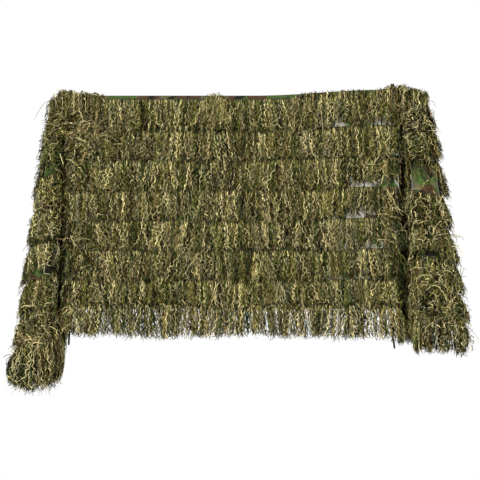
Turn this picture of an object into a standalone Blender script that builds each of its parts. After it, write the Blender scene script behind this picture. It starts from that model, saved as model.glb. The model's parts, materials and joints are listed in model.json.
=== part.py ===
"""Hanging camouflage blanket with sewn rows of yarn fringe.

A wide, light sheet is hung by two loops on its top hem. Between the loops it hangs as one flat
panel, and past each loop the free end drops in pleats. Metres, +Z up. The origin is the middle of
the top hem, the blanket's front faces -Y.

Each free end (a fall) is a sheet that hangs in a cone: every straight line of the cloth runs from
one point above the hang point, so pleats widen downwards and the sheet keeps its own lengths.
"""
import math

import bmesh
import bpy
from mathutils import Vector

# Flat cloth
SPAN_HALF = 0.75            # hang point to the middle of the panel
DROP = 0.96                 # top edge to bottom edge
HEM = 0.018                 # bound hem, all round
CLOTH_T = 0.0016
HEM_T = 0.0030
GAP = 0.0003                # between pieces that touch in the real thing
SEAM_GAP = 0.0010           # between a cloth edge and its hem, which twist in the pleats
CREASE = 0.0034             # slack at the line where a fall can swing
TOP_LIFT = 0.028            # the top hem is drawn up towards the right hang point
LIFT_FROM, LIFT_TO = 0.10, 0.72

# Yarn rows: distance of each sewn heading below the top edge, and the yarn's own length
HEADINGS = (HEM + SEAM_GAP, 0.158, 0.291, 0.427, 0.563, 0.697, 0.832, DROP - HEM)
YARN = 0.150
ROW_GAP = 0.0010
ROW_THICK = 0.017           # at the yarn ends
ROW_THIN = 0.45             # share of that at the heading
ROW_TAPER = 0.018           # thickness per metre from the cone's point, where the pleats are tight
ROW_BEVEL = 0.6             # rise of the outer lower edge, as a share of the thickness

# Ties, loops and patches
TIE_W, TIE_T = 0.010, 0.0014
PATCH_W, PATCH_H, PATCH_T = 0.014, 0.015, 0.0010
LOOP_W, LOOP_T, LOOP_EYE_R = 0.016, 0.0014, 0.0105
LOOP_X = 0.724              # loop centre, inside each hang point
LOOP_LEG = 0.014            # length sewn to the hem

TURN_STEP = math.radians(16.0)   # most a facet turns in a pleat
ARC_STEP = 0.13
OUTLINE_STEP = 0.0015

# Each fall: side of the panel, reach of cloth past the hang point, height of the cone's point
# above the top hem, and its pleats seen from above on a unit sphere: a first heading (0 is along
# the panel, 90 is backwards), then (length, turn in degrees) of each stretch
FALLS = {
    "left": (-1, 0.86, 0.25, 101, (
        (0.14, 0), (0.105, -188), (0.17, 0), (0.062, 90), (0.024, 0), (0.08, 132), (0.065, 0),
        (0.085, -130), (0.02, 0), (0.095, 163), (0.065, 0), (0.095, -160), (0.05, 0),
        (0.095, 160), (0.065, 0), (0.095, -160))),
    "right": (1, 0.66, 0.55, 100, (
        (0.03, 0), (0.10, -186), (0.08, 0), (0.075, 110), (0.04, 0), (0.085, 125), (0.07, 0),
        (0.095, -150), (0.045, 0), (0.095, 165), (0.08, 0), (0.09, -60))),
}

# Tie tapes: (name, body it is sewn to, place along the hem, drop, how far to the right its
# free end bends). A tie hangs straight for the first share of its drop.
TIE_STEPS = 14
TIE_STRAIGHT = 0.35
TIES = (
    ("tie_left_inner", "main", -0.729, 0.172, -0.004),
    ("tie_right_inner", "main", 0.718, 0.188, 0.016),
    ("tie_left_corner", "left", 0.790, 0.125, -0.006),
    ("tie_right_corner", "right", 0.560, 0.155, 0.012),
)


def clear_scene():
    for item in list(bpy.data.objects):
        bpy.data.objects.remove(item, do_unlink=True)


def material(name, colour, roughness):
    made = bpy.data.materials.new(name)
    made.use_nodes = True
    shader = made.node_tree.nodes["Principled BSDF"]
    shader.inputs["Base Color"].default_value = (*colour, 1.0)
    shader.inputs["Roughness"].default_value = roughness
    shader.inputs["Metallic"].default_value = 0.0
    return made


def add_object(name, bm, look, origin=None, axis=None):
    """Turn a bmesh in world positions into an object, under the empty it swings with if any."""
    holder = axis.location if axis else Vector((0.0, 0.0, 0.0))
    origin = origin or holder
    bmesh.ops.remove_doubles(bm, verts=bm.verts, dist=0.00002)
    bmesh.ops.recalc_face_normals(bm, faces=bm.faces)
    bmesh.ops.translate(bm, verts=bm.verts, vec=-origin)
    mesh = bpy.data.meshes.new(name)
    bm.to_mesh(mesh)
    bm.free()
    mesh.materials.append(look)
    made = bpy.data.objects.new(name, mesh)
    made.location = origin - holder
    made.parent = axis
    part.objects.link(made)


def band(columns):
    """A closed strip: each column holds its inner top, inner bottom, outer bottom, outer top."""
    bm = bmesh.new()
    rings = [[bm.verts.new(point) for point in column] for column in columns]
    for left, right in zip(rings, rings[1:]):
        for i in range(4):
            j = (i + 1) % 4
            bm.faces.new((left[i], left[j], right[j], right[i]))
    bm.faces.new(rings[0])
    bm.faces.new(rings[-1])
    return bm


def lift(x, v):
    """How far the top hem is drawn up at x, fading to nothing at the bottom hem."""
    t = min(max((x - LIFT_FROM) / (LIFT_TO - LIFT_FROM), 0.0), 1.0)
    return TOP_LIFT * t * t * (3.0 - 2.0 * t) * max(1.0 - v / DROP, 0.0)


def panel_point(x, v, y):
    return Vector((x, y, lift(x, v) - v))


def panel_band(x_ends, v_ends, inner, outer_top, outer_bottom, bevel=0.0):
    count = 11
    columns = []
    for i in range(count):
        x = x_ends[0] + (x_ends[1] - x_ends[0]) * i / (count - 1)
        columns.append((panel_point(x, v_ends[0], -inner), panel_point(x, v_ends[1], -inner),
                        panel_point(x, v_ends[1] - bevel * (outer_bottom - inner), -outer_bottom),
                        panel_point(x, v_ends[0], -outer_top)))
    return band(columns)


class Fall:
    """One free end of the sheet, past the hang point on its side."""

    def __init__(self, side, reach, point_height, heading, stretches):
        self.side, self.reach, self.height = side, reach, point_height
        self.samples = self.trace(math.radians(heading), stretches)
        self.columns = self.pick_columns()
        self.axis = bpy.data.objects.new("crease_axis_right" if side > 0 else "crease_axis_left", None)
        self.axis.location = (side * SPAN_HALF, 0.0, 0.0)
        part.objects.link(self.axis)

    def trace(self, heading, stretches):
        """Samples of (arc, direction, front normal, heading) round the pleats."""
        x = y = arc = 0.0
        last = Vector((0.0, 0.0, -1.0))
        samples = [(0.0, last, heading)]
        for length, turn in stretches:
            steps = round(length / OUTLINE_STEP)
            for _ in range(steps):
                half = math.radians(turn) / steps / 2.0
                heading += half
                x += math.cos(heading) * length / steps
                y += math.sin(heading) * length / steps
                heading += half
                here = Vector((x, y, -math.sqrt(1.0 - x * x - y * y)))
                arc += (here - last).length
                last = here
                samples.append((arc, here, heading))
        return samples

    def at(self, arc):
        """Direction from the cone's point and the front normal at this arc."""
        low, high = 0, len(self.samples) - 1
        while high - low > 1:
            middle = (low + high) // 2
            if self.samples[middle][0] <= arc:
                low = middle
            else:
                high = middle
        a, b = self.samples[low], self.samples[high]
        t = (arc - a[0]) / (b[0] - a[0])
        along = a[1].lerp(b[1], t).normalized()
        heading = a[2] + (b[2] - a[2]) * t
        normal = Vector((math.cos(heading), math.sin(heading), 0.0)).cross(along)
        normal = (normal - along * normal.dot(along)).normalized()
        if normal.x * math.sin(heading) - normal.y * math.cos(heading) < 0.0:
            normal.negate()
        return (Vector((self.side * along.x, along.y, along.z)),
                Vector((self.side * normal.x, normal.y, normal.z)))

    def arc_of(self, s, v):
        return math.atan2(s, v + self.height)

    def pick_columns(self):
        """Arcs at which every piece of this fall has an edge, so that they nest."""
        end = self.arc_of(self.reach, 0.0)
        corners = [self.arc_of(self.reach - HEM, v) for v in (0.0, *HEADINGS, DROP, HEADINGS[-1] + YARN)]
        picked, heading = [0.0], self.samples[0][2]
        for arc, _, turned in self.samples:
            if arc >= end:
                break
            if abs(turned - heading) >= TURN_STEP or arc - picked[-1] >= ARC_STEP:
                picked.append(arc)
                heading = turned
        clear = 0.010
        picked = [a for a in picked if a == 0.0 or min(abs(a - c) for c in corners) > clear]
        return sorted(picked + corners + [end])

    def point(self, arc, radius, offset):
        along, normal = self.at(arc)
        place = along * radius + normal * offset
        tip = Vector((self.side * (SPAN_HALF + CREASE), 0.0, self.height))
        place += tip
        if self.side > 0:
            v = radius * math.cos(arc) - self.height
            place.z += lift(SPAN_HALF, max(v, 0.0))
        return place

    def facet(self, s, v):
        """Middle of the flat facet nearest s along the line v: place, front normal, downhill."""
        arc = self.arc_of(s, v)
        right = next(i for i, column in enumerate(self.columns) if column > arc)
        ends = [self.columns[right - 1], self.columns[right]]
        a, b = (self.point(end, (v + self.height) / math.cos(end), 0.0) for end in ends)
        down = (self.at(ends[0])[0] + self.at(ends[1])[0]).normalized()
        normal = (b - a).cross(down).normalized()
        if normal.dot(self.at(arc)[1]) < 0.0:
            normal.negate()
        return (a + b) / 2.0, normal, down

    def band(self, s_ends, v_ends, inner, outer_top, outer_bottom, taper=None, bevel=0.0):
        """Strip over s_ends by v_ends of the flat cloth, between two offsets from its middle."""
        top, bottom = v_ends[0] + self.height, v_ends[1] + self.height
        start = math.atan2(s_ends[0], bottom)
        end = math.atan2(s_ends[1], top)
        arcs = [start] + [a for a in self.columns if start + 0.002 < a < end - 0.002] + [end]
        if s_ends[0] > self.reach / 2.0:
            corners = (math.atan2(s_ends[1], bottom), math.atan2(s_ends[0], top))
            arcs = sorted([a for a in arcs if min(abs(a - c) for c in corners) > 0.004]
                          + list(corners))
        columns = []
        for arc in arcs:
            sine, cosine = max(math.sin(arc), 1e-9), math.cos(arc)
            high = max(top / cosine, s_ends[0] / sine)
            low = min(bottom / cosine, s_ends[1] / sine)
            low = max(low, high)
            rows = []
            for radius in (high, low):
                share = (radius * cosine - top) / (bottom - top)
                outer = outer_top + (outer_bottom - outer_top) * min(max(share, 0.0), 1.0)
                if taper:
                    limit = taper * radius * cosine * (ROW_THIN + share * (1 - ROW_THIN))
                    outer = min(outer, inner + limit)
                rows.append((radius, outer))
            raised = min(bevel * (rows[1][1] - inner), (low - high) / 2.0)
            columns.append((self.point(arc, high, inner), self.point(arc, low, inner),
                            self.point(arc, low - raised, rows[1][1]),
                            self.point(arc, high, rows[0][1])))
        return band(columns)


def build_cloth(falls, look):
    span = (-SPAN_HALF, SPAN_HALF)
    field = (HEM + SEAM_GAP, DROP - HEM - SEAM_GAP)
    half = CLOTH_T / 2.0
    add_object("cloth_main", panel_band(span, field, -half, half, half), look)
    for name, fall in falls.items():
        reach = (0.0, fall.reach - HEM - SEAM_GAP)
        add_object(f"cloth_{name}_fall", fall.band(reach, field, -half, half, half), look,
                   axis=fall.axis)


def build_hems(falls, look):
    half = HEM_T / 2.0
    span = (-SPAN_HALF, SPAN_HALF)
    for edge, ends in (("top", (0.0, HEM)), ("bottom", (DROP - HEM, DROP))):
        add_object(f"hem_{edge}_main", panel_band(span, ends, -half, half, half), look)
        for name, fall in falls.items():
            reach = (0.0, fall.reach - HEM - SEAM_GAP)
            add_object(f"hem_{edge}_{name}_fall", fall.band(reach, ends, -half, half, half), look,
                       axis=fall.axis)
    for name, fall in falls.items():
        reach = (fall.reach - HEM, fall.reach)
        add_object(f"hem_side_{name}", fall.band(reach, (0.0, DROP), -half, half, half), look,
                   axis=fall.axis)


def build_fringe(falls, looks):
    ends = [*(v - ROW_GAP for v in HEADINGS[1:]), HEADINGS[-1] + YARN]
    for i, (top, bottom) in enumerate(zip(HEADINGS, ends)):
        backing = HEM_T if i == len(HEADINGS) - 1 else CLOTH_T
        inner = backing / 2.0 + GAP
        thin, thick = inner + ROW_THICK * ROW_THIN, inner + ROW_THICK
        span = (-SPAN_HALF + ROW_GAP, SPAN_HALF - ROW_GAP)
        bm = panel_band(span, (top, bottom), inner, thin, thick, ROW_BEVEL)
        add_object(f"fringe_row_{i + 1}_main", bm, looks[i % len(looks)])
        for name, fall in falls.items():
            reach = (0.0, fall.reach - HEM - SEAM_GAP)
            bm = fall.band(reach, (top, bottom), inner, thin, thick, ROW_TAPER, ROW_BEVEL)
            add_object(f"fringe_row_{i + 1}_{name}", bm, looks[i % len(looks)], axis=fall.axis)


def build_loop(name, x, look):
    """A tape loop sewn to the back of the top hem, its eye along X."""
    leg = HEM_T / 2.0 + GAP + LOOP_T / 2.0
    spread = LOOP_T + GAP
    rise = 0.004
    middle = Vector((leg + spread / 2.0, rise + LOOP_EYE_R))
    gone = math.asin(spread / 2.0 / LOOP_EYE_R)
    path = [Vector((leg, -LOOP_LEG)), Vector((leg, 0.0))]
    steps = 18
    for i in range(steps + 1):
        angle = -math.pi / 2.0 - gone - (2.0 * math.pi - 2.0 * gone) * i / steps
        path.append(middle + Vector((math.cos(angle), math.sin(angle))) * LOOP_EYE_R)
    path += [Vector((leg + spread, 0.0)), Vector((leg + spread, -LOOP_LEG))]
    columns = []
    base = lift(x, 0.0)
    for i, here in enumerate(path):
        ahead = path[min(i + 1, len(path) - 1)] - path[max(i - 1, 0)]
        side = Vector((-ahead.y, ahead.x)).normalized() * LOOP_T / 2.0
        a, b = here + side, here - side
        columns.append([Vector((x + dx, p.x, base + p.y)) for p, dx in
                        ((a, -LOOP_W / 2), (a, LOOP_W / 2), (b, LOOP_W / 2), (b, -LOOP_W / 2))])
    add_object(name, band(columns), look)


def box(centre, across, away, up, sizes):
    bm = bmesh.new()
    corners = []
    for k in (-0.5, 0.5):
        for i, j in ((-0.5, -0.5), (0.5, -0.5), (0.5, 0.5), (-0.5, 0.5)):
            corners.append(bm.verts.new(centre + across * (i * sizes[0]) + away * (j * sizes[1])
                                        + up * (k * sizes[2])))
    for face in ((0, 1, 2, 3), (4, 5, 6, 7), (0, 1, 5, 4), (1, 2, 6, 5), (2, 3, 7, 6), (3, 0, 4, 7)):
        bm.faces.new([corners[i] for i in face])
    return bm


def tape(root, right, level, drop, aside):
    """A flat tape that hangs plumb from its root, then bends a little towards its free end."""
    path = []
    for i in range(TIE_STEPS + 1):
        t = i / TIE_STEPS
        bent = max(t - TIE_STRAIGHT, 0.0) / (1.0 - TIE_STRAIGHT)
        bend = aside * bent * bent * (3.0 - 2.0 * bent) * t
        path.append(root + right * bend - Vector((0.0, 0.0, drop * t)))
    columns = []
    for i, here in enumerate(path):
        ahead = path[min(i + 1, TIE_STEPS)] - path[max(i - 1, 0)]
        across = ahead.cross(level).normalized() * TIE_W / 2.0
        away = level * TIE_T / 2.0
        columns.append((here + away - across, here + away + across,
                        here - away + across, here - away - across))
    return band(columns)


def build_ties(falls, look):
    """Each tie hangs from a patch on the back of the bottom hem."""
    v = DROP - HEM / 2.0
    plumb = Vector((0.0, 0.0, -1.0))
    for name, place, along_hem, drop, aside in TIES:
        if place == "main":
            seat, normal, down, axis = panel_point(along_hem, v, 0.0), Vector((0, -1, 0)), plumb, None
        else:
            seat, normal, down = falls[place].facet(along_hem, v)
            axis = falls[place].axis
        back = -normal
        across = down.cross(back).normalized()
        depth = HEM_T / 2.0 + GAP + PATCH_T / 2.0
        patch = box(seat + back * depth, across, back, down, (PATCH_W, PATCH_T, PATCH_H))
        add_object(name.replace("tie", "patch"), patch, look, axis=axis)
        level = Vector((back.x, back.y, 0.0)).normalized()
        hinge = plumb.cross(level)
        clear = HEM_T / 2.0 + 2.0 * GAP + PATCH_T + TIE_T / 2.0
        lean = abs(down.dot(level)) * PATCH_H / 2.0
        root = seat + back * clear + level * lean
        right = hinge if hinge.x > 0.0 else -hinge
        add_object(name, tape(root, right, level, drop, aside), look, origin=root, axis=axis)


clear_scene()
part = bpy.data.collections.new("fringed_blanket")
bpy.context.scene.collection.children.link(part)

cloth_look = material("camouflage_cloth", (0.16, 0.20, 0.09), 0.85)
hem_look = material("bound_hem", (0.10, 0.12, 0.05), 0.80)
yarn_looks = [material(name, colour, 0.95) for name, colour in (
    ("yarn_olive", (0.17, 0.15, 0.075)), ("yarn_straw", (0.24, 0.20, 0.10)),
    ("yarn_moss", (0.12, 0.13, 0.06)), ("yarn_bark", (0.16, 0.12, 0.06)))]
tape_look = material("tie_tape", (0.05, 0.055, 0.03), 0.75)

falls = {name: Fall(*spec) for name, spec in FALLS.items()}
build_cloth(falls, cloth_look)
build_hems(falls, hem_look)
build_fringe(falls, yarn_looks)
for side, name in ((-1, "hang_loop_left"), (1, "hang_loop_right")):
    build_loop(name, side * LOOP_X, tape_look)
build_ties(falls, tape_look)
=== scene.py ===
"""Looks for the hung ghillie blanket: camouflage cloth, bound hems, rows of yarn fringe, tapes."""
import json
import math

import bpy
import numpy as np
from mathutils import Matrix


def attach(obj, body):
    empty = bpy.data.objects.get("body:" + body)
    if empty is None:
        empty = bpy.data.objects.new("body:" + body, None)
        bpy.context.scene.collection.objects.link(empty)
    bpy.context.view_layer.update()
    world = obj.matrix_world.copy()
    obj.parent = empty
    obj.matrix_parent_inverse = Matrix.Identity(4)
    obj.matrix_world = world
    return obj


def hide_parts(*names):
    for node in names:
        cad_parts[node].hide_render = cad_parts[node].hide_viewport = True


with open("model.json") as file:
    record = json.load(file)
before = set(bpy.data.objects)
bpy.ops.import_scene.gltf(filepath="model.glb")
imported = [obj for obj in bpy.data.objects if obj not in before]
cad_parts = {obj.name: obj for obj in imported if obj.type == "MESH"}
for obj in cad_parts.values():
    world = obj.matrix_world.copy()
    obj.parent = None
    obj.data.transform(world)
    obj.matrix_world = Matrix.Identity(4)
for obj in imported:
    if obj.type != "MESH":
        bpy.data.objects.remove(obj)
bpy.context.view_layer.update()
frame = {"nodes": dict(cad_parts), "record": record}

SPAN, DROP, HEM = 0.75, 0.96, 0.018  # half the panel's width, the cloth's depth, a hem's width
CREASE = 0.0034  # the slit between the panel's CAD solids and a fall's
TUCK = 0.0032  # how far the panel's cloth and hems reach across it
LIFT, LIFT_FROM, LIFT_TO = 0.028, 0.10, 0.72  # the top hem's rise, and from where to where it rises
HEADINGS = (0.019, 0.158, 0.291, 0.427, 0.563, 0.697, 0.832, 0.942)  # where each row is sewn on

# Each fall: its side, its reach along the hem, the height of its cone's tip over the top edge, the
# heading it sets off with, and its stretches: how long, and by how many degrees each turns
FALLS = {
    "left": (-1, 0.86, 0.25, 101, (
        (0.14, 0), (0.105, -188), (0.17, 0), (0.062, 90), (0.024, 0), (0.08, 132), (0.065, 0),
        (0.085, -130), (0.02, 0), (0.095, 163), (0.065, 0), (0.095, -160), (0.05, 0),
        (0.095, 160), (0.065, 0), (0.095, -160))),
    "right": (1, 0.66, 0.55, 100, (
        (0.03, 0), (0.10, -186), (0.08, 0), (0.075, 110), (0.04, 0), (0.085, 125), (0.07, 0),
        (0.095, -150), (0.045, 0), (0.095, 165), (0.08, 0), (0.09, -60))),
}
BODY = {"main": "panel", "left": "left_fall", "right": "right_fall"}
ARC_STEP = 0.0015  # how finely a fall's stretches are walked
FOLD_WINDOW = 25  # such steps to either side, over which its turning is evened out
SHARP_FOLD = 22.0  # the turn for a unit of arc that counts as a full fold
NUDGE = 0.002  # a small way along the hem, to see how the cloth runs there
TAIL_MIDDLE, TAIL_END = -0.900, -1.318  # the rounded tail of the left fall: its middle and its end


# ---- where the cloth hangs

def unit(a):
    return a / np.linalg.norm(a, axis=-1, keepdims=True)


def smooth_step(t):
    t = np.clip(t, 0, 1)
    return t * t * (3 - 2 * t)


def lift_at(x, v):
    return LIFT * smooth_step((x - LIFT_FROM) / (LIFT_TO - LIFT_FROM)) * np.clip(1 - v / DROP, 0, 1)


class Panel:
    """The flat panel: s runs along the top hem from -SPAN to SPAN, v down from its top edge."""
    name, reach = "main", (-SPAN, SPAN)
    bulge = 0.0  # how far the bottom row swells out half-way down

    def billow(self, s, v):
        ease = np.clip(1 - np.abs(s / SPAN) ** 6, 0, 1) * np.clip(v / 0.35, 0, 1)
        soft = (0.0045 * np.sin(s * 9.0 + 0.7 + v * 1.3) + 0.0030 * np.sin(s * 21.0 - v * 2.6 + 2.0)
                + 0.0022 * np.sin(v * 13.0 + s * 4.0))
        return ease * soft

    def place(self, s, v, off):
        y = -off - self.billow(s, v)
        return np.stack([s, y, lift_at(s, v) - v], -1)

    def normal(self, s, v):
        out = np.zeros(np.shape(s) + (3,))
        out[..., 1] = -1.0
        return out

    def step(self, s, v, along, down):
        """A place reached from s, v by so much sideways and so much downhill."""
        return s + along, v + down

    def room(self, s, v):
        """How thick the yarn can lie, as a share of its own spread, and how far it flares."""
        return np.ones(np.shape(s)), np.zeros(np.shape(s))

    def plumb(self, s, v):
        """The lean that makes a yarn hang straight down."""
        return 0.0

    def longer(self, s, v):
        """Extra length of the bottom row: a little more towards the right end."""
        return 0.022 * smooth_step((s - 0.60) / 0.12)


class Fall:
    """A free end: a sheet in a cone, whose straight lines run from a point over the hang point."""

    def __init__(self, name):
        self.name = name
        self.side, reach, self.height, heading, stretches = FALLS[name]
        self.reach = (0.0, reach)
        self.bulge = 0.040 if self.side < 0 else 0.012
        heading = math.radians(heading)
        x = y = arc = 0.0
        last = np.array([0.0, 0.0, -1.0])
        rows = [(0.0, *last, heading)]
        for length, turn in stretches:
            steps = round(length / ARC_STEP)
            for _ in range(steps):
                half = math.radians(turn) / steps / 2
                heading += half
                x += math.cos(heading) * length / steps
                y += math.sin(heading) * length / steps
                heading += half
                here = np.array([x, y, -math.sqrt(1 - x * x - y * y)])
                arc += float(np.linalg.norm(here - last))
                last = here
                rows.append((arc, *here, heading))
        self.table = np.array(rows)

    def at(self, arc):
        """The cone's straight line at each arc, and the way the cloth faces there."""
        t = self.table
        along = np.stack([np.interp(arc, t[:, 0], t[:, i]) for i in (1, 2, 3)], -1)
        along = unit(along)
        heading = np.interp(arc, t[:, 0], t[:, 4])
        ahead = np.stack([np.cos(heading), np.sin(heading), np.zeros_like(heading)], -1)
        normal = np.cross(ahead, along)
        normal -= along * (normal * along).sum(-1, keepdims=True)
        normal = unit(normal)
        front = normal[..., 0] * np.sin(heading) - normal[..., 1] * np.cos(heading)
        normal *= np.where(front < 0, -1.0, 1.0)[..., None]
        along[..., 0] *= self.side
        normal[..., 0] *= self.side
        return along, normal

    def polar(self, s, v):
        """A place on the flat cloth as an angle and a distance from the cone's tip."""
        q = v + self.height
        return np.arctan2(s, q), np.hypot(s, q)

    def place(self, s, v, off):
        arc, radius = self.polar(s, v)
        along, normal = self.at(arc)
        p = along * radius[..., None] + normal * np.asarray(off)[..., None]
        p[..., 0] += self.side * (SPAN + CREASE)
        p[..., 2] += self.height
        if self.side > 0:
            p[..., 2] += lift_at(SPAN, np.maximum(v, 0))
        return p

    def normal(self, s, v):
        return self.at(self.polar(s, v)[0])[1]

    def step(self, s, v, along, down):
        arc, radius = self.polar(s, v)
        arc = arc + along / radius
        radius = radius + down
        return radius * np.sin(arc), radius * np.cos(arc) - self.height

    def fold(self, arc):
        """1 where the cloth bulges to the front, -1 where it folds to the back, 0 where flat."""
        t = self.table
        turn = np.gradient(t[:, 4], t[:, 0])
        width = 2 * FOLD_WINDOW + 1
        turn = np.convolve(np.pad(turn, FOLD_WINDOW, mode="edge"), np.ones(width), "valid")
        return np.clip(np.interp(arc, t[:, 0], turn / width) / SHARP_FOLD, -1, 1)

    def room(self, s, v):
        arc, radius = self.polar(s, v)
        fold = self.fold(arc)
        share = np.clip(0.45 + radius * np.cos(arc) * 0.8, 0.3, 1.0)
        flare = 0.038 - 0.020 * smooth_step((v - 0.15) / 0.25) if self.side < 0 else 0.034
        return share * (1 - 0.45 * np.clip(-fold, 0, 1)), flare * np.clip(fold, 0, 1)

    def plumb(self, s, v):
        """The lean that makes a yarn hang straight down, as far as the cloth lets it."""
        arc, _ = self.polar(s, v)
        here, ahead = self.at(arc)[0], self.at(arc + NUDGE)[0]
        return np.clip(np.arctan2(-(ahead - here)[..., 2] / NUDGE, -here[..., 2]), -0.6, 0.6)

    def longer(self, s, v):
        """Extra length of the bottom row; on the left it is combed to one rounded tail."""
        root = self.place(s, v, 0.0 * s)
        if self.side > 0:
            outer = smooth_step((root[..., 0] - 1.005) / 0.045)
            return 0.030 * np.clip((0.5 - s) / 0.2, 0, 1) - 0.075 * outer
        aside = root[..., 0] - TAIL_MIDDLE
        tail_end = TAIL_END + np.where(aside > 0, 7.5, 11.0) * aside ** 2
        tail_end = tail_end + 0.13 * smooth_step((root[..., 0] + 0.775) / 0.018)
        most = 0.115 * smooth_step((0.12 - root[..., 1]) / 0.06)
        return np.clip(root[..., 2] - tail_end - LAST_PITCH, -0.09, most)


PARTS = {"main": Panel(), "left": Fall("left"), "right": Fall("right")}


def flat_layout(part, s, v):
    """Places on the whole cloth laid flat: to the right of its middle, and up from its top edge."""
    return np.stack([{"main": s, "left": -SPAN - s, "right": SPAN + s}[part.name], -v], -1)


# ---- materials

def nodes_of(name, roughness, sheen=0.0):
    """A new material with its node tree and its shader."""
    made = bpy.data.materials.new(name)
    made.use_nodes = True
    tree = made.node_tree
    shader = tree.nodes["Principled BSDF"]
    shader.inputs["Roughness"].default_value = roughness
    shader.inputs["Sheen Weight"].default_value = sheen
    shader.inputs["Specular IOR Level"].default_value = 0.08
    return made, tree, shader


def add(tree, kind, **settings):
    """A node, with each setting put on the input of that name or else on the node."""
    node = tree.nodes.new(kind)
    for key, value in settings.items():
        if key in node.inputs:
            node.inputs[key].default_value = value
        else:
            setattr(node, key, value)
    return node


def fed(tree, kind, source, into, **settings):
    """A node with one of its inputs fed by a socket."""
    node = add(tree, kind, **settings)
    tree.links.new(source, node.inputs[into])
    return node


def ramp(tree, source, stops):
    """The colour a socket gives on a ramp through stops of place and colour."""
    node = fed(tree, "ShaderNodeValToRGB", source, "Fac")
    elements = node.color_ramp.elements
    while len(elements) < len(stops):
        elements.new(0.5)
    for element, (at, colour) in zip(elements, stops):
        element.position = at
        element.color = (*colour, 1.0)
    return node.outputs["Color"]


def mixed(tree, factor, a, b, blend="MIX"):
    """Mix two colours; each is a socket or a plain colour."""
    node = add(tree, "ShaderNodeMix", data_type="RGBA", blend_type=blend)
    for socket, value in ((node.inputs["Factor"], factor), (node.inputs[6], a), (node.inputs[7], b)):
        if isinstance(value, bpy.types.NodeSocket):
            tree.links.new(value, socket)
        elif isinstance(value, (int, float)):
            socket.default_value = value
        else:
            socket.default_value = (*value, 1.0)
    return node.outputs[2]


# The khaki ground is darker than the cloth's own khaki: partly painted shade for cloth lying in the
# fringe's shadow
KHAKI, PALE_KHAKI = (0.13, 0.115, 0.062), (0.42, 0.41, 0.34)
WOODLAND = (  # the print's colours over the khaki: shift, scale, share of cloth left bare, tint
    (2.0, 13.0, 0.475, (0.065, 0.110, 0.026)), (6.0, 11.0, 0.54, (0.080, 0.044, 0.021)),
    (9.0, 15.0, 0.60, (0.012, 0.013, 0.010)))
RIPSTOP, WEAVE = 8.0, 45.0  # scales of the ripstop grid and of the threads between
BLEACHED_AT = (0.59, -0.18, 0.0)  # middle of the sun-bleached stretch, in the flat layout


def bleached_share(tree, flat, spread):
    """How far the print is bleached at each place: white where it is, black where it is not."""
    squeezed = fed(tree, "ShaderNodeMapping", flat.outputs["UV"], "Vector", Scale=(1.0, 0.5, 1.0))
    middle = fed(tree, "ShaderNodeVectorMath", squeezed.outputs["Vector"], 0, operation="DISTANCE")
    middle.inputs[1].default_value = BLEACHED_AT
    blotch = fed(tree, "ShaderNodeTexNoise", spread.outputs["Vector"], "Vector", Scale=6.0,
                 Detail=3.0, Roughness=0.5, Distortion=0.4)
    nearer = fed(tree, "ShaderNodeMath", middle.outputs["Value"], 0, operation="MULTIPLY_ADD")
    nearer.inputs[1].default_value = -0.9
    tree.links.new(blotch.outputs["Fac"], nearer.inputs[2])
    return ramp(tree, nearer.outputs["Value"], ((0.27, (0, 0, 0)), (0.30, (1, 1, 1))))


def bands(tree, source, direction, scale, distortion):
    """Bands across a direction of the layout that a socket gives."""
    wave = fed(tree, "ShaderNodeTexWave", source, "Vector", wave_type="BANDS",
               bands_direction=direction, Scale=scale, Distortion=distortion)
    return wave.outputs["Fac"]


def joined(tree, how, a, b):
    """Two value sockets joined by a sum or a product."""
    join = fed(tree, "ShaderNodeMath", a, 0, operation=how)
    tree.links.new(b, join.inputs[1])
    return join.outputs["Value"]


def woven_bump(tree, flat, shader):
    """The ripstop grid and the threads between, as one bump."""
    height = None
    for direction, scale in (("X", RIPSTOP), ("Y", RIPSTOP), ("X", WEAVE), ("Y", WEAVE)):
        wave = bands(tree, flat.outputs["UV"], direction, scale, 0.0)
        height = wave if height is None else joined(tree, "ADD", height, wave)
    add_bump(tree, height, shader, 0.25, 0.0006)


def add_bump(tree, height, shader, strength, distance):
    """Raise the surface by a height socket."""
    bump = fed(tree, "ShaderNodeBump", height, "Height", Strength=strength, Distance=distance)
    tree.links.new(bump.outputs["Normal"], shader.inputs["Normal"])


def camouflage(name, bleached=0.0):
    """Woodland print on a ripstop weave, laid out in metres on the flat cloth."""
    made, tree, shader = nodes_of(name, roughness=0.8, sheen=0.15)
    link = tree.links.new
    flat = add(tree, "ShaderNodeUVMap", uv_map="flat")
    spread = fed(tree, "ShaderNodeMapping", flat.outputs["UV"], "Vector", Scale=(1.0, 1.35, 1.0))
    faded = bleached_share(tree, flat, spread)
    pale = tuple(a + bleached * (b - a) for a, b in zip(KHAKI, PALE_KHAKI))
    colour = mixed(tree, faded, KHAKI, pale)
    for shift, scale, bare, tint in WOODLAND:
        move = fed(tree, "ShaderNodeVectorMath", spread.outputs["Vector"], 0, operation="ADD")
        move.inputs[1].default_value = (shift, shift * 2.3, 0.0)
        noise = fed(tree, "ShaderNodeTexNoise", move.outputs["Vector"], "Vector", Scale=scale,
                    Detail=3.0, Roughness=0.45, Distortion=0.6)
        less = fed(tree, "ShaderNodeMath", faded, 0, operation="MULTIPLY_ADD")
        less.inputs[1].default_value = -0.07 * bleached
        link(noise.outputs["Fac"], less.inputs[2])
        edge = ((bare - 0.004, (0, 0, 0)), (bare + 0.004, (1, 1, 1)))
        colour = mixed(tree, ramp(tree, less.outputs["Value"], edge), colour, tint)
    fade = fed(tree, "ShaderNodeTexNoise", flat.outputs["UV"], "Vector", Scale=45.0, Detail=4.0,
               Roughness=0.6)
    worn = ramp(tree, fade.outputs["Fac"], ((0.3, (0.80, 0.80, 0.80)), (0.7, (1.12, 1.12, 1.10))))
    link(mixed(tree, 1.0, colour, worn, "MULTIPLY"), shader.inputs["Base Color"])
    woven_bump(tree, flat, shader)
    return made


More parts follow.
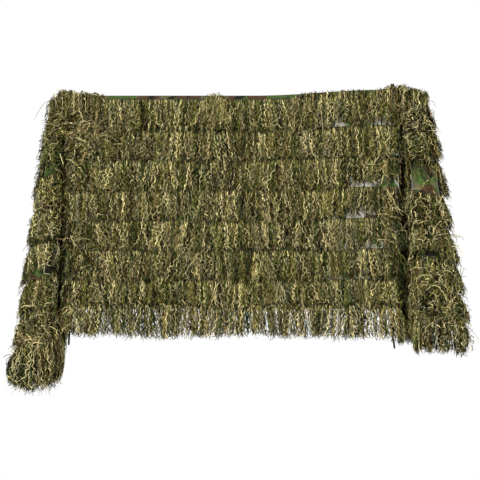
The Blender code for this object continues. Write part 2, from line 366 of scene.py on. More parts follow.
TONES = {
    "straw": (0.76, 0.67, 0.37), "tan": (0.42, 0.32, 0.15), "grey": (0.36, 0.34, 0.22),
    "olive": (0.23, 0.215, 0.060), "moss": (0.13, 0.155, 0.038), "green": (0.05, 0.09, 0.034),
    "brown": (0.10, 0.062, 0.022), "dark": (0.014, 0.013, 0.006)}
STRAW, TAN, _, OLIVE, MOSS = range(5)  # their places in TONES


def yarn_material(name, tint):
    """Matt plied fibre: each strand its own shade, mottled and ribbed along its length."""
    made, tree, shader = nodes_of(name, roughness=0.95)
    place = add(tree, "ShaderNodeTexCoord").outputs["Object"]
    island = add(tree, "ShaderNodeNewGeometry")
    each = ramp(tree, island.outputs["Random Per Island"], (
        (0.0, (0.16, 0.16, 0.16)), (0.5, (0.84, 0.84, 0.84)), (1.0, (1.76, 1.74, 1.60))))
    mottle = fed(tree, "ShaderNodeTexNoise", place, "Vector", Scale=85.0, Detail=2.0,
                 Roughness=0.5)
    along = ramp(tree, mottle.outputs["Fac"], ((0.32, (0.42, 0.41, 0.40)),
                                               (0.68, (1.42, 1.42, 1.31))))
    colour = mixed(tree, 1.0, mixed(tree, 1.0, tint, each, "MULTIPLY"), along, "MULTIPLY")
    tree.links.new(colour, shader.inputs["Base Color"])
    ply = fed(tree, "ShaderNodeTexNoise", place, "Vector", Scale=700.0, Detail=2.0)
    add_bump(tree, ply.outputs["Fac"], shader, 0.5, 0.0008)
    return made


def tape_material(name, tint):
    """Woven tape: a herringbone of fine ribs, with painted shade in their grooves and a painted
    highlight on their crowns.
    """
    made, tree, shader = nodes_of(name, roughness=0.75, sheen=0.2)
    place = add(tree, "ShaderNodeTexCoord").outputs["Object"]
    ribs = joined(tree, "MULTIPLY", *(bands(tree, place, way, 110.0, 1.5) for way in "XZ"))
    # Colour follows rib height: painted shade low, painted highlight high
    stops = [(at, tuple(c * share for c in tint)) for at, share in ((0.0, 0.55), (1.0, 1.5))]
    tree.links.new(ramp(tree, ribs, stops), shader.inputs["Base Color"])
    add_bump(tree, ribs, shader, 0.4, 0.0005)
    return made


cloth_look = camouflage("camouflage_ripstop", bleached=1.0)
back_look = camouflage("camouflage_back")
hem_look = camouflage("camouflage_hem")
# Near black, darker than the tape itself: painted shade for the dark crevice line at each heading
seam_and_shade_look = tape_material("heading_tape", (0.010, 0.010, 0.006))
thread_look = tape_material("sewing_thread", (0.085, 0.085, 0.045))
tape_look = tape_material("woven_tape", (0.045, 0.05, 0.026))
yarn_looks = [yarn_material(f"yarn_{name}", tint) for name, tint in TONES.items()]
FRINGE_SLOTS = [*yarn_looks, seam_and_shade_look, thread_look]
SEAM_AND_SHADE, THREAD = len(yarn_looks), len(yarn_looks) + 1


# ---- mesh building

class Builder:
    """Collects tubes and sheets into one mesh."""

    def __init__(self):
        self.points, self.quads, self.ends, self.count = [], [], [], 0

    def tubes(self, rings, slot):
        """rings: strand, ring, corner, xyz. Each strand is a closed tube."""
        n, m, k = rings.shape[:3]
        index = np.arange(n * m * k).reshape(n, m, k) + self.count
        a, b = index[:, :-1], index[:, 1:]
        quads = np.stack([a, b, np.roll(b, -1, 2), np.roll(a, -1, 2)], -1)
        slot = np.broadcast_to(np.asarray(slot).reshape(-1, 1), (n, 1))
        self.quads.append(np.concatenate(
            [quads.reshape(-1, 4), np.repeat(slot, (m - 1) * k)[:, None]], 1))
        for ring, order in ((index[:, 0], slice(None)), (index[:, -1], slice(None, None, -1))):
            fan = np.stack([np.repeat(ring[:, :1], k - 2, 1), ring[:, 1:-1], ring[:, 2:]], -1)
            self.ends.append(np.concatenate(
                [fan.reshape(-1, 3)[:, order], np.repeat(slot, k - 2)[:, None]], 1))
        self.points.append(rings.reshape(-1, 3))
        self.count += n * m * k

    def finish(self, name, looks, uv=None):
        """The mesh as an object, with its slots in the order of looks."""
        points = np.concatenate(self.points)
        quads = np.concatenate(self.quads)
        ends = np.concatenate(self.ends) if self.ends else np.zeros((0, 4), int)
        corners = np.concatenate([quads[:, :4].ravel(), ends[:, :3].ravel()])
        starts = np.concatenate([np.arange(len(quads)) * 4,
                                 len(quads) * 4 + np.arange(len(ends)) * 3])
        mesh = bpy.data.meshes.new(name)
        mesh.vertices.add(len(points))
        mesh.vertices.foreach_set("co", points.astype(np.float32).ravel())
        mesh.loops.add(len(corners))
        mesh.loops.foreach_set("vertex_index", corners.astype(np.int32))
        mesh.polygons.add(len(starts))
        mesh.polygons.foreach_set("loop_start", starts.astype(np.int32))
        mesh.polygons.foreach_set(
            "material_index", np.concatenate([quads[:, 4], ends[:, 3]]).astype(np.int32))
        mesh.polygons.foreach_set("use_smooth", np.ones(len(starts), bool))
        mesh.update()
        if uv is not None:
            layer = mesh.uv_layers.new(name="flat")
            layer.data.foreach_set("uv", uv[corners].astype(np.float32).ravel())
        for look in looks:
            mesh.materials.append(look)
        made = bpy.data.objects.new(name, mesh)
        bpy.context.scene.collection.objects.link(made)
        return made


def tube_rings(paths, normals, radius, sides=3):
    """Rings round each path. paths and normals: strand, point, xyz; radius: strand, point."""
    tangent = np.gradient(paths, axis=1)
    tangent /= np.linalg.norm(tangent, axis=-1, keepdims=True) + 1e-12
    across = np.cross(tangent, normals)
    across /= np.linalg.norm(across, axis=-1, keepdims=True) + 1e-12
    out = np.cross(across, tangent)
    angle = np.arange(sides) * 2 * math.pi / sides + math.pi / 2
    ring = (across[:, :, None] * np.cos(angle)[None, None, :, None]
            + out[:, :, None] * np.sin(angle)[None, None, :, None])
    return paths[:, :, None] + ring * radius[:, :, None, None]


# ---- cloth and hems

CLOTH_THICK = 0.0007
THREAD_RADIUS = 0.0005


def sheet_mesh(name, part, s_ends, v_ends, cells, thick, looks):
    """A closed sheet over a stretch of the flat cloth, with its flat layout as its UV map."""
    s = np.linspace(*s_ends, cells[0] + 1)
    v = np.linspace(*v_ends, cells[1] + 1)
    S, V = np.meshgrid(s, v, indexing="ij")
    front = part.place(S, V, np.full(S.shape, thick / 2))
    back = part.place(S, V, np.full(S.shape, -thick / 2))
    n, m = S.shape
    points = np.concatenate([front.reshape(-1, 3), back.reshape(-1, 3)])
    i = np.arange(n * m).reshape(n, m)
    f = np.stack([i[:-1, :-1], i[:-1, 1:], i[1:, 1:], i[1:, :-1]], -1).reshape(-1, 4)
    b = f[:, ::-1] + n * m
    rim = np.concatenate([i[:, 0], i[-1, 1:], i[-2::-1, -1], i[0, -2:0:-1]])
    nxt = np.roll(rim, -1)
    r = np.stack([rim, nxt, nxt + n * m, rim + n * m], -1)
    made = Builder()
    made.points = [points]
    made.quads = [np.concatenate([quads, quads[:, :1] * 0 + side], 1)
                  for quads, side in ((f, 0), (b, 1), (r, 1))]
    uv = np.concatenate([flat_layout(part, S, V).reshape(-1, 2)] * 2)
    return made.finish(name, looks, uv=uv)


def swept(part, s, v, lobes, stitched):
    """Points of a rolled hem: s, v along its middle line, lobes its section (across, off).

    stitched is 1 where the stitches pull it in and out, 0 where it runs smooth.
    """
    ds, dv = np.gradient(s), np.gradient(v)
    size = np.hypot(ds, dv)
    ds, dv = ds / size, dv / size
    S = s[:, None] - dv[:, None] * lobes[None, :, 0]
    V = v[:, None] + ds[:, None] * lobes[None, :, 0]
    wave = 0.0004 * np.sin(np.arange(len(s)) * 0.9)
    off = lobes[None, :, 1] * (1 + stitched * wave[:, None] / 0.0012)
    return part.place(S, V, off * np.ones_like(S)), S, V


def hem_mesh(name, part, lines):
    """Rolled, twice-stitched hems along lines of the flat cloth."""
    half, thick = HEM / 2 - 0.0002, 0.0014
    section = np.array([(-half, 0.0), (-half * 0.92, thick), (-half * 0.55, thick * 0.75),
                        (0.0, thick * 1.1), (half * 0.55, thick * 0.75), (half * 0.92, thick * 0.9),
                        (half, 0.0), (half * 0.92, -thick * 0.9), (half * 0.55, -thick * 0.75),
                        (0.0, -thick * 1.1), (-half * 0.55, -thick * 0.75), (-half * 0.92, -thick)])
    body, uvs = Builder(), []
    for s, v in lines:
        rings, S, V = swept(part, s, v, section, 1.0)
        body.tubes(rings[None], 0)
        uvs.append(flat_layout(part, S, V).reshape(-1, 2))
    for s, v in lines:
        for line in (-half * 0.6, half * 0.6):
            stitches(body, part, s, v, line, 0.0015, uvs)
    return body.finish(name, [hem_look, thread_look], uv=np.concatenate(uvs))


def stitches(body, part, s, v, across, off, uvs=None, slot=1, pitch=0.0065, length=0.0045):
    """Short thread stitches beside a line of the flat cloth."""
    size = np.concatenate([[0], np.cumsum(np.hypot(np.diff(s), np.diff(v)))])
    starts = np.arange(pitch / 2, size[-1] - length, pitch)
    t = starts[:, None] + np.array([0.0, 0.25, 0.75, 1.0]) * length
    ss, vv = np.interp(t, size, s), np.interp(t, size, v)
    ds, dv = np.gradient(s), np.gradient(v)
    norm = np.hypot(ds, dv)
    ss = ss - np.interp(t, size, dv / norm) * across
    vv = vv + np.interp(t, size, ds / norm) * across
    lifted = off + np.array([-0.0006, 0.0004, 0.0004, -0.0006]) * np.ones_like(ss)
    paths = part.place(ss, vv, lifted)
    rings = tube_rings(paths, part.normal(ss, vv), np.full(ss.shape, THREAD_RADIUS))
    body.tubes(rings, slot)
    if uvs is not None:
        uvs.append(np.zeros((rings.reshape(-1, 3).shape[0], 2)))


# ---- yarn

STEPS = 24  # lengths of tube in each yarn
# The yarns underneath are given dark tones as painted shade.
UNDER_STEPS = 12  # in the thicker, darker yarns underneath
FUZZ_STEPS = 8  # in the short ends that stick out
TONE_MIX = np.array([0.20, 0.12, 0.06, 0.22, 0.12, 0.06, 0.07, 0.15])
TANGLE_MIX = np.array([0.26, 0.20, 0.12, 0.18, 0.10, 0.05, 0.04, 0.05])
# Tones for painted shade (underneath, close to the cloth, by creases, behind tangles) and for a few
# yarns dark at random
DARK_AND_PAINTED_SHADE_MIX = np.array([0.01, 0.02, 0.02, 0.10, 0.12, 0.11, 0.14, 0.48])
LAST = len(HEADINGS) - 1
LAST_PITCH = 0.142  # how far the bottom row hangs

# Yarns a metre: underneath, loose ends and on top. "rows" is for every row but the bottom one
DENSITY = {"rows": (320, 330, 880), "main": (200, 110, 740), "left": (700, 480, 1400),
           "right": (360, 400, 950)}
FRONT, BACK = -0.171, 0.366  # the yarn is pressed flat past these planes

# Worn stretches where the yarn ends early and the cloth shows: part, from and to along the hem,
# from and to down the cloth, and the share of the yarn lost
WORN = (
    ("main", 0.485, 0.545, 0.126, 0.156, 0.88), ("main", 0.595, 0.690, 0.118, 0.156, 0.82),
    ("main", 0.530, 0.745, 0.388, 0.425, 0.90), ("main", 0.500, 0.680, 0.512, 0.561, 0.72),
    ("main", 0.575, 0.695, 0.642, 0.695, 0.72), ("main", 0.510, 0.610, 0.792, 0.830, 0.70),
    ("main", -0.740, -0.695, 0.045, 0.110, 0.60), ("main", -0.630, -0.590, 0.090, 0.118, 0.55),
    ("main", 0.722, 0.750, 0.280, 0.424, 0.70), ("right", 0.000, 0.120, 0.290, 0.415, 0.60),
    ("right", 0.160, 0.400, 0.285, 0.365, 0.88), ("right", 0.160, 0.350, 0.355, 0.410, 0.80),
    ("right", 0.305, 0.375, 0.652, 0.692, 0.90),
    ("left", 0.240, 0.284, 0.215, 0.262, 0.75), ("left", 0.410, 0.650, 0.648, 0.692, 0.90),
)

# Tangled stretches: part, middle along the hem and down the cloth, spreads, number of yarns
TANGLED = (
    ("main", -0.665, 0.165, 0.050, 0.040, 260), ("main", -0.560, 0.225, 0.050, 0.028, 110),
    ("main", -0.700, 0.330, 0.030, 0.060, 90), ("main", -0.690, 0.700, 0.040, 0.090, 110),
    ("main", 0.690, 0.560, 0.040, 0.150, 150), ("left", 0.100, 0.120, 0.090, 0.060, 190),
    ("left", 0.300, 0.500, 0.200, 0.090, 90), ("left", 0.500, 0.880, 0.200, 0.090, 170),
    ("main", -0.722, 0.985, 0.014, 0.025, 80),
    ("left", 0.600, 0.990, 0.080, 0.050, 300), ("left", 0.580, 1.060, 0.100, 0.030, 160),
    ("right", 0.450, 0.990, 0.090, 0.040, 120),
    ("right", 0.150, 0.150, 0.120, 0.060, 120), ("right", 0.300, 0.620, 0.180, 0.110, 260),
    ("right", 0.350, 0.860, 0.180, 0.080, 330),
)
TANGLE_END = {"main": DROP + 0.10, "left": DROP + 0.14, "right": DROP + 0.03}
# Behind a tangle, this share of the yarn takes the dark tones as painted shade
SHADED = {"main": 0.45, "left": 0.0, "right": 0.22}  # share of the yarn behind a tangle that is dark

# Tufts that stand over the top hem: from and to along it, number of yarns, height
TUFTS = {
    "main": ((-0.75, -0.56, 260, 0.022), (-0.75, -0.69, 150, 0.028), (-0.115, -0.030, 40, 0.020),
             (0.24, 0.66, 210, 0.012), (0.64, 0.75, 130, 0.010), (0.690, 0.75, 190, 0.026)),
    "left": ((0.0, 0.26, 460, 0.038),),
    "right": ((0.0, 0.26, 420, 0.030),),
}
CLUMP_AT = -0.070  # along the top hem, the brighter tuft left of its middle


def column(a):
    """One value for each yarn, as a column."""
    return np.asarray(a)[:, None]


def in_level(way):
    """A direction with its rise taken out."""
    return unit(way * (1, 1, 0))


def worn_off(rng, part, s, v, paths):
    """Paths cut short where they enter a worn stretch, and which of them are left at all."""
    n, points = s.shape
    share = np.ones(n)
    aside, along = rng.normal(0, 0.009, (2, n, 1))
    for name, left, right, high, low, lost in WORN:
        if name == part.name:
            inside = (s + aside > left) & (s + aside < right) & (v + along > high) & (v < low)
            first = np.where(inside.any(1), inside.argmax(1), points - 1) / (points - 1)
            ragged = np.clip(first + rng.uniform(-0.03, 0.12, n), 0, 1)
            gone = inside.any(1) & (rng.uniform(0, 1, n) < lost)
            share = np.where(gone, np.minimum(share, ragged), share)
    at = share[:, None] * np.arange(points)[None, :]
    low = np.minimum(at.astype(int), points - 2)
    part_way = (at - low)[..., None]
    rows = np.arange(n)[:, None]
    return paths[rows, low] * (1 - part_way) + paths[rows, low + 1] * part_way, share > 0.08


def travel(rng, lock, t, length, lean, wild):
    """How far each yarn goes sideways and downhill; yarns of one lock curl together."""
    n, locks = len(lock), lock.max() + 1
    run = 2 * math.pi * length[:, None] * t
    shared = (rng.uniform(0.15, 0.60, locks), rng.uniform(0.040, 0.066, locks),
              np.cumsum(rng.normal(0, 0.8, locks)))
    own = (np.minimum(rng.uniform(0.40, 1.15, n) * (0.75 + wild), 1.15),
           rng.uniform(0.022, 0.050, n), rng.uniform(0, 2 * math.pi, n))
    angle = np.zeros((n, t.shape[1]))
    for swing, pitch, phase in (tuple(x[lock] for x in shared), own):
        angle += swing[:, None] * np.sin(run / pitch[:, None] + phase[:, None])
    angle = lean[:, None] + angle * np.clip(t / 0.3, 0.15, 1)
    curl = np.clip(rng.normal(0, 0.55, n) * (1 + 2.5 * wild), -1.3, 1.3)
    angle += curl[:, None] * np.clip((t - 0.55) / 0.45, 0, 1) ** 2
    middle = (angle[:, 1:] + angle[:, :-1]) / 2
    stride = length[:, None] * np.diff(t, axis=1)
    side = np.concatenate([np.zeros((n, 1)), np.cumsum(np.sin(middle) * stride, 1)], 1)
    down = np.concatenate([np.zeros((n, 1)), np.cumsum(np.cos(middle) * stride, 1)], 1)
    return side, down


def hang(rng, part, s0, v0, lock, steps, length, lean, wild, depth, free):
    """Paths of yarns sewn on at s0, v0 of the flat cloth, and the way their fronts face.

    Free yarns, those of the bottom row, hang plumb below the cloth instead of lying on it.
    """
    t = (np.linspace(0, 1, steps + 1) ** 0.85)[None, :]
    side, down = travel(rng, lock, t, length, lean, wild)
    puff = np.clip(t / 0.10, 0, 1)
    off = 0.0025 + 0.0025 * puff + (column(depth) - 0.005) * smooth_step(t / 0.45)
    ripple = column(rng.uniform(0.0006, 0.0024, len(s0)) * (0.7 + wild))
    beat = column(length / rng.uniform(0.020, 0.036, len(s0)))
    off = off + ripple * puff * np.sin(2 * math.pi * beat * t + column(rng.uniform(0, 6.3, len(s0))))
    s_here, v_here = part.step(column(s0) + 0 * t, column(v0) + 0 * t, side, down)
    room, flare = part.room(s_here, v_here)
    lifted = flare * (0.3 if free else 1.0) * (0.3 + 0.7 * t ** 2)
    if free:
        lifted = lifted + part.bulge * np.sin(math.pi * 0.78 * t)
    lifted = lifted * column(rng.uniform(0.2, 1, len(s0)))
    off = np.maximum(off * room + lifted, 0.0022)
    if not free:
        return part.place(s_here, v_here, off), part.normal(s_here, v_here), s_here, v_here
    root = part.place(column(s0), column(v0), np.full((len(s0), 1), 0.0))
    level = in_level(part.normal(column(s0), column(v0)))
    beside = part.place(column(s0) + NUDGE, column(v0), np.full((len(s0), 1), 0.0))
    across = in_level(beside - root)
    paths = (root + across * side[..., None] + level * off[..., None]
             - down[..., None] * np.array([0, 0, 1.0]))
    return paths, level + 0 * paths, s_here, v_here


def droop(rng, part, s0, v0, off, out, aside, up, length, turn, curl):
    """Loose ends that start off the cloth one way and turn down under their weight."""
    n = len(s0)
    front = part.normal(s0, v0)
    level = in_level(front)
    across = np.cross(level, (0, 0, 1.0))
    start = out[:, None] * front + aside[:, None] * across + up[:, None] * np.array([0, 0, 1.0])
    start = unit(start)
    waves = [(part_way, rng.uniform(0.020, 0.036, n), rng.uniform(0, 2 * math.pi, n))
             for part_way in (across, front)]
    points = [part.place(s0, v0, off)]
    for step in range(FUZZ_STEPS):
        run = length * (step + 0.5) / FUZZ_STEPS
        fallen = smooth_step(run / turn)[:, None]
        way = start * (1 - fallen) + fallen * np.array([0, 0, -1.0])
        for direction, pitch, phase in waves:
            way = way + direction * (curl * np.sin(2 * math.pi * run / pitch + phase))[:, None]
        way = unit(way)
        points.append(points[-1] + way * (length / FUZZ_STEPS)[:, None])
    paths = np.stack(points, 1)
    return paths, np.repeat(level[:, None], FUZZ_STEPS + 1, 1)


def pick_tones(rng, n, lock, shade_and_dark_mask):
    """A colour for each yarn: dyed in short lengths, so part of a lock shares its colour."""
    # Yarns marked for painted shade, and a few dark at random, draw from the dark mix
    mix = np.where(shade_and_dark_mask[:, None], DARK_AND_PAINTED_SHADE_MIX, TONE_MIX)
    bars = np.cumsum(mix, 1) / mix.sum(1, keepdims=True)
    own = (rng.uniform(0, 1, (n, 1)) > bars).sum(1)
    shared = (rng.uniform(0, 1, lock.max() + 1)[lock][:, None] > bars).sum(1)
    return np.where(rng.uniform(0, 1, n) < 0.15, shared, own)


def ends_of(part):
    """From where to where along the hem the yarn is sewn on."""
    low, high = part.reach
    return (low + 0.003, high - 0.003) if part.name == "main" else (low, high - 0.020)


def sewn_at(rng, row, part, per_metre, under):
    """Where the yarns of a row are sewn on, the lock of each, and how many locks there are."""
    low, high = ends_of(part)
    locks = max(int((high - low) * per_metre / 3.0), 1)
    n = int((high - low) * per_metre)
    lock = rng.integers(0, locks, n)
    middle = low + (np.arange(locks) + rng.uniform(0, 1, locks)) / locks * (high - low)
    s0 = np.clip(middle[lock] + rng.normal(0, 0.0030, n), low, high)
    if under:
        s0 = low + (np.arange(n) + rng.uniform(0, 0.6, n)) / n * (high - low)
    return s0, HEADINGS[row] - 0.001 + rng.uniform(-0.001, 0.002, n), lock, locks


def reach_of(rng, row, part, s0, v0):
    """How far down each yarn of a row reaches."""
    pitch = LAST_PITCH if row == LAST else HEADINGS[row + 1] - HEADINGS[row]
    lap = 0.006 * np.sin(s0 * 8.3 + row * 2.4) + 0.005 * np.sin(s0 * 21.0 + row * 1.3)
    reach = pitch + 0.001 + lap + rng.normal(0, 0.006, len(s0))
    return reach + part.longer(s0, v0) if row == LAST else reach


def bearing(rng, row, part, s0, lock, locks):
    """How far each yarn leans, and how wildly it curls."""
    n = len(s0)
    drift = (0.09 * np.sin(s0 * 11.0 + row * 1.7) + 0.08 * np.sin(s0 * 37.0 + row * 2.9)
             + 0.06 * np.sin(s0 * 90.0 + row * 0.9))
    lean = drift + rng.normal(0, 0.07, locks)[lock] + rng.normal(0, 0.06, n)
    wild = rng.uniform(0.0, 0.50, n)
    if part.name == "main":
        near_end = np.clip((np.abs(s0) - SPAN + 0.03) / 0.03, 0, 1)
        lean += np.sign(s0) * near_end * rng.uniform(-0.05, 0.45, n)
        wild += np.clip((-0.42 - s0) / 0.16, 0, 1) * (row < 3) * rng.uniform(0.2, 0.9, n)
        wild += np.clip((s0 - 0.50) / 0.1, 0, 1) * rng.uniform(0.0, 0.3, n)
    else:
        wild += rng.uniform(0.1, 0.8, n)
        to_panel = np.clip(1 - s0 / 0.03, 0, 1) * (0.25 if row == LAST else 1.0)
        lean += rng.normal(0, 0.10, n) - to_panel * rng.uniform(0, 0.35, n)
    return lean, wild


def combed(part, s0, v0, lean, wild):
    """The lean and curl of a fall's bottom row, which hangs straighter and, on the left, aside."""
    root, beside = (part.place(s0 + ds, v0, np.zeros(len(s0)))[:, 0] for ds in (0.0, NUDGE))
    towards_panel = (part.name == "left") & (root > -0.83)
    lean = np.where(towards_panel, 0.10 * np.sign(root - beside), np.clip(lean, -0.15, 0.15))
    return lean, np.where(towards_panel, 0.2, wild * 0.8)


def dark_and_painted_shade(rng, row, part, s0, v0, depth):
    """Which yarns take the dark tones: painted shade deep in the fringe, beside a crease and behind
    a tangle, and a few yarns dark at random.
    """
    n = len(s0)
    # Painted shade for yarns that lie close to the cloth; the 15% drawn at random are dark yarn
    shade_and_dark_mask = (depth < 0.0085) | (rng.uniform(0, 1, n) < 0.15)
    if 0 < row < LAST:
        # Painted shade in the creases between the panel and the falls
        crease = {"main": np.abs(s0) > SPAN - 0.012, "left": s0 < 0.030, "right": s0 < 0.055}
        shade_and_dark_mask |= crease[part.name] & (rng.uniform(0, 1, n) < 0.85)
    for name, s_middle, v_middle, s_spread, v_spread, _ in TANGLED:
        far = ((s0 - s_middle) / s_spread) ** 2 + ((v0 + 0.06 - v_middle) / (v_spread + 0.04)) ** 2
        shade_and_dark_mask |= (name == part.name) & (far < 2.5) & (rng.uniform(0, 1, n) < SHADED[name])
    return shade_and_dark_mask


def yarn_row(rng, row, part, per_metre, under):
    """One sewn row of fringe: either its top yarns, or the thicker ones under them, dark as painted
    shade.
    """
    last = row == LAST
    s0, v0, lock, locks = sewn_at(rng, row, part, per_metre, under)
    n = len(s0)
    reach = reach_of(rng, row, part, s0, v0)
    lean, wild = bearing(rng, row, part, s0, lock, locks)
    depth = rng.uniform(0.0075, 0.0145, locks)[lock] + rng.normal(0, 0.0028, n)
    stray = (rng.uniform(0, 1, n) < 0.08) & (not under)
    lean = np.where(stray, rng.uniform(-0.7, 0.7, n), lean)
    depth = np.where(stray, 0.019, np.clip(depth, 0.005, 0.0185))
    if last and part.name != "main":
        lean, wild = combed(part, s0, v0, lean, wild)
    if under:
        reach, depth, wild = reach * 0.97, rng.uniform(0.004, 0.006, n), wild * 0.5
    length = reach / (0.93 - 0.12 * np.clip(wild, 0, 1))
    paths, normals, s, v = hang(rng, part, s0, v0, lock, UNDER_STEPS if under else STEPS, length,
                                lean + part.plumb(s0, v0) * (not last), wild, depth, last)
    paths, keep = worn_off(rng, part, s, v, paths)
    # Yarns underneath, deep in the fringe, by creases or behind tangles take the dark tones as
    # painted shade
    tone = pick_tones(rng, n, lock, dark_and_painted_shade(rng, row, part, s0, v0, depth) | under)
    radius = rng.uniform(0.0022, 0.0030, n) if under else rng.uniform(0.0010, 0.0021, n)
    radius = np.where(stray, 0.7 * radius, radius)
    return paths[keep], normals[keep], tone[keep], radius[keep]


def clump(rng, part):
    """The brighter tuft that hangs over the top hem left of its middle."""
    n = 60
    s0 = rng.normal(CLUMP_AT, 0.016, n)
    v0 = rng.uniform(0.002, 0.008, n)
    lean = rng.normal(0, 0.14, n) - (s0 - CLUMP_AT) * 2.5
    paths, normals, _, _ = hang(rng, part, s0, v0, rng.integers(0, 12, n), STEPS,
                                rng.uniform(0.12, 0.165, n), lean, rng.uniform(0.1, 0.5, n),
                                rng.uniform(0.012, 0.022, n), False)
    tone = rng.choice([STRAW, TAN, OLIVE, OLIVE, MOSS, MOSS], n)
    return paths, normals, tone, rng.uniform(0.0014, 0.0023, n)


def loose_bunch(rng, n, made, mix=TONE_MIX):
    """Loose ends as a bunch, with their tones and thickness."""
    paths, normals = made
    tone = rng.choice(len(TONES), n, p=mix)
    return paths, normals, tone, rng.uniform(0.0008, 0.0016, n)


def fuzz(rng, row, part, per_metre):
    """Cut ends that stick out of the fringe anywhere in the row."""
    low, high = ends_of(part)
    n = int((high - low) * per_metre)
    s0, pitch = rng.uniform(low, high, n), 0.125 if row == LAST else 0.135
    v0 = HEADINGS[row] + pitch * (0.14 + 0.78 * rng.uniform(0, 1, n) ** 0.7)
    if row == LAST and part.name == "main":
        v0 = np.minimum(v0, DROP - 0.004)
    room, flare = part.room(s0, v0)
    worn = np.zeros(n, bool)
    for name, left, right, top, bottom, _ in WORN:
        worn |= (name == part.name) & (s0 > left) & (s0 < right) & (v0 > top) & (v0 < bottom)
    if row == LAST:
        worn |= part.normal(s0, v0)[:, 1] > -0.15
    s0, v0, room, flare = s0[~worn], v0[~worn], room[~worn], flare[~worn]
    n = len(s0)
    off = rng.uniform(0.007, 0.012, n) * room + 0.5 * flare
    made = droop(rng, part, s0, v0, off, rng.uniform(0.15, 0.8, n) * room, rng.normal(0, 0.9, n),
                 rng.normal(-0.4, 0.7, n), rng.uniform(0.015, 0.045, n), rng.uniform(0.02, 0.06, n),
                 rng.uniform(0.2, 0.9, n))
    return loose_bunch(rng, n, made)


def tangle(rng, row, part):
    """Long yarns lying all ways over each other in the tangled stretches that start in this row."""
    bunches = []
    top, bottom = HEADINGS[row], TANGLE_END[part.name] if row == LAST else HEADINGS[row + 1]
    for name, s_middle, v_middle, s_spread, v_spread, n in TANGLED:
        s0 = rng.normal(s_middle, s_spread, n)
        v0 = rng.normal(v_middle, v_spread, n)
        low, high = ends_of(part)
        here = (v0 >= top) & (v0 < bottom) & (s0 > low) & (s0 < high) & (name == part.name)
        here &= part.normal(s0, v0)[:, 1] < -0.25
        s0, v0, n = s0[here], v0[here], int(here.sum())
        if n:
            room, flare = part.room(s0, v0)
            off = rng.uniform(0.010, 0.015, n) * room + 0.6 * flare
            made = droop(rng, part, s0, v0, off, rng.uniform(0.0, 0.35, n) * room,
                         rng.normal(0, 1.0, n), rng.normal(0, 0.8, n), rng.uniform(0.05, 0.10, n),
                         rng.uniform(0.08, 0.20, n), rng.uniform(0.4, 1.0, n))
            bunches.append(loose_bunch(rng, n, made, TANGLE_MIX))
    return bunches


def tuft(rng, part):
    """Yarn of the top row that stands up over the hem before it falls to the front."""
    bunches = []
    for low, high, n, tall in TUFTS[part.name]:
        share, v0 = rng.beta(1.6, 1.6, n), rng.uniform(0.002, 0.016, n)
        s0 = low + share * (high - low)
        if part.name != "main":
            share = rng.uniform(0, 1, n)
            s0, share = (high - low) * share, 0.5 * (1 - 0.6 * share)
        tall = tall * rng.uniform(0.5, 1.1, n) * np.clip(4.5 * share * (1 - share), 0.3, 1)
        made = droop(rng, part, s0, v0, np.full(n, 0.0035), rng.uniform(0.10, 0.45, n),
                     rng.normal(0, 0.45, n), rng.uniform(0.7, 1.2, n),
                     rng.uniform(0.05, 0.10, n) + 2 * tall, 2.6 * tall, rng.uniform(0.2, 0.7, n))
        bunches.append(loose_bunch(rng, n, made))
    return bunches


def add_yarns(body, bunches):
    """Bunches of yarn as tubes that thin to their cut ends."""
    for paths, normals, tone, radius in bunches:
        paths[..., 1] = np.clip(paths[..., 1], FRONT, BACK)
        t = np.linspace(0, 1, paths.shape[1])
        taper = np.interp(t, [0, 0.08, 0.8, 1.0], [0.8, 1.0, 0.95, 0.35])
        body.tubes(tube_rings(paths, normals, radius[:, None] * taper[None, :]), tone)


def heading_tape(body, row, part):
    """The tape that a row is sewn on with, and its two lines of stitches."""
    low, high = part.reach
    low, high = (low + 0.001, high - 0.001) if part.name == "main" else (low, high - 0.0195)
    s = np.linspace(low, high, int((high - low) / 0.006))
    v = np.full_like(s, HEADINGS[row] + 0.0005) + 0.0007 * np.sin(s * 90.0 + row)
    section = np.array([(-0.0035, 0.0012), (-0.0025, 0.0030), (0.0025, 0.0030), (0.0035, 0.0012)])
    rings, _, _ = swept(part, s, v, section, 0.0)
    # The tape's near-black colour is painted shade along the heading.
    body.tubes(rings[None], SEAM_AND_SHADE)
    stitches(body, part, s, v, -0.0016, 0.0034, slot=THREAD)
    stitches(body, part, s, v, 0.0, -0.0010, slot=THREAD)


def under_piece(name, rng, row, part):
    """The heading tape of a row with its stitches, the yarn underneath and the loose ends."""
    body = Builder()
    under, loose = DENSITY[part.name if row == LAST else "rows"][:2]
    bunches = [yarn_row(rng, row, part, under, True), fuzz(rng, row, part, loose),
               *tangle(rng, row, part)]
    if row == 0:
        bunches += tuft(rng, part)
        if part.name == "main":
            bunches.append(clump(rng, part))
    add_yarns(body, bunches)
    heading_tape(body, row, part)
    return body.finish(name, FRINGE_SLOTS)


def over_piece(name, rng, row, part):
    """The top yarns of a row."""
    body = Builder()
    over = DENSITY[part.name if row == LAST else "rows"][2]
    add_yarns(body, [yarn_row(rng, row, part, over, False)])
    return body.finish(name, FRINGE_SLOTS)


# ---- tapes

def tape_mesh(name, path, across, normals, width, thick, look):
    """A flat tape along path, its edges a little rounded."""
    section = np.array([(-0.5, 0.0), (-0.44, 0.5), (-0.15, 0.36), (0.15, 0.36), (0.44, 0.5),
                        (0.5, 0.0), (0.44, -0.5), (0.15, -0.36), (-0.15, -0.36), (-0.44, -0.5)])
    rings = (path[:, None] + across[:, None] * (section[None, :, :1] * width)
             + normals[:, None] * (section[None, :, 1:] * thick))
    for end, inward in ((0, 1), (-1, -2)):
        rings[end] = rings[inward].mean(0) + (rings[end] - rings[end].mean(0)) * 0.82 + (
            path[end] - path[inward])
    body = Builder()
    body.tubes(rings[None], 0)
    return body.finish(name, [look])


